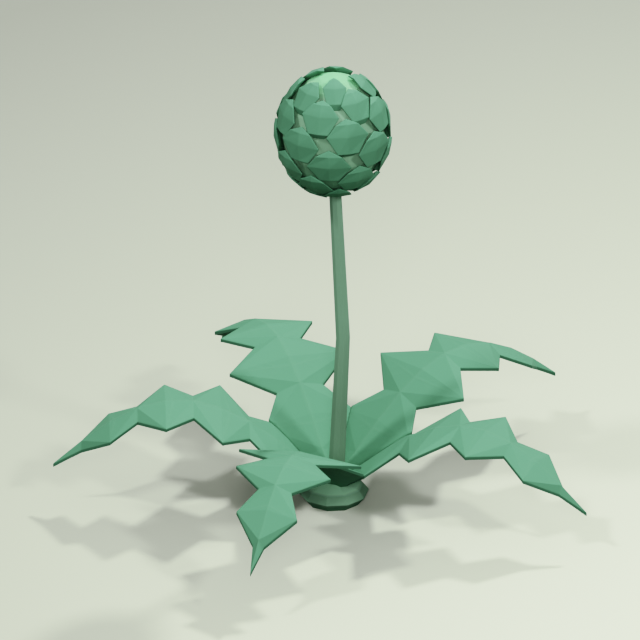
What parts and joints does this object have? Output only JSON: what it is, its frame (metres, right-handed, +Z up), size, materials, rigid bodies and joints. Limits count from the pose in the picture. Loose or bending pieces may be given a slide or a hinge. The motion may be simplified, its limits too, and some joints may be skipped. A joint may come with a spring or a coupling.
{
  "type": "globe artichoke",
  "caption": "Whole globe artichoke plant lifted from the ground: a bracted head on a bare stem over a rosette of lobed, arching leaves and a squat crown.",
  "frame": {"origin": "centre of the crown's flat bottom, which stands on the ground or a shelf", "axes": "+Z up along the stem, -Y to the front, where the leaf that the head's top bract points over lies, +X to the right"},
  "size_m": [0.5335, 0.5295, 0.4774],
  "materials": {
    "crown": "matte fibrous root flesh",
    "stem": "matte ribbed stem skin",
    "leaf": "matte leaf skin",
    "head": "matte waxy bracts on a pale heart"
  },
  "bodies": {
    "root": {"crown": "crown", "stem": "stem", "leaf_left": "leaf", "leaf_back_left": "leaf", "leaf_back_right": "leaf", "leaf_front_right": "leaf", "leaf_front": "leaf", "head": "head"}
  },
  "joints": []
}
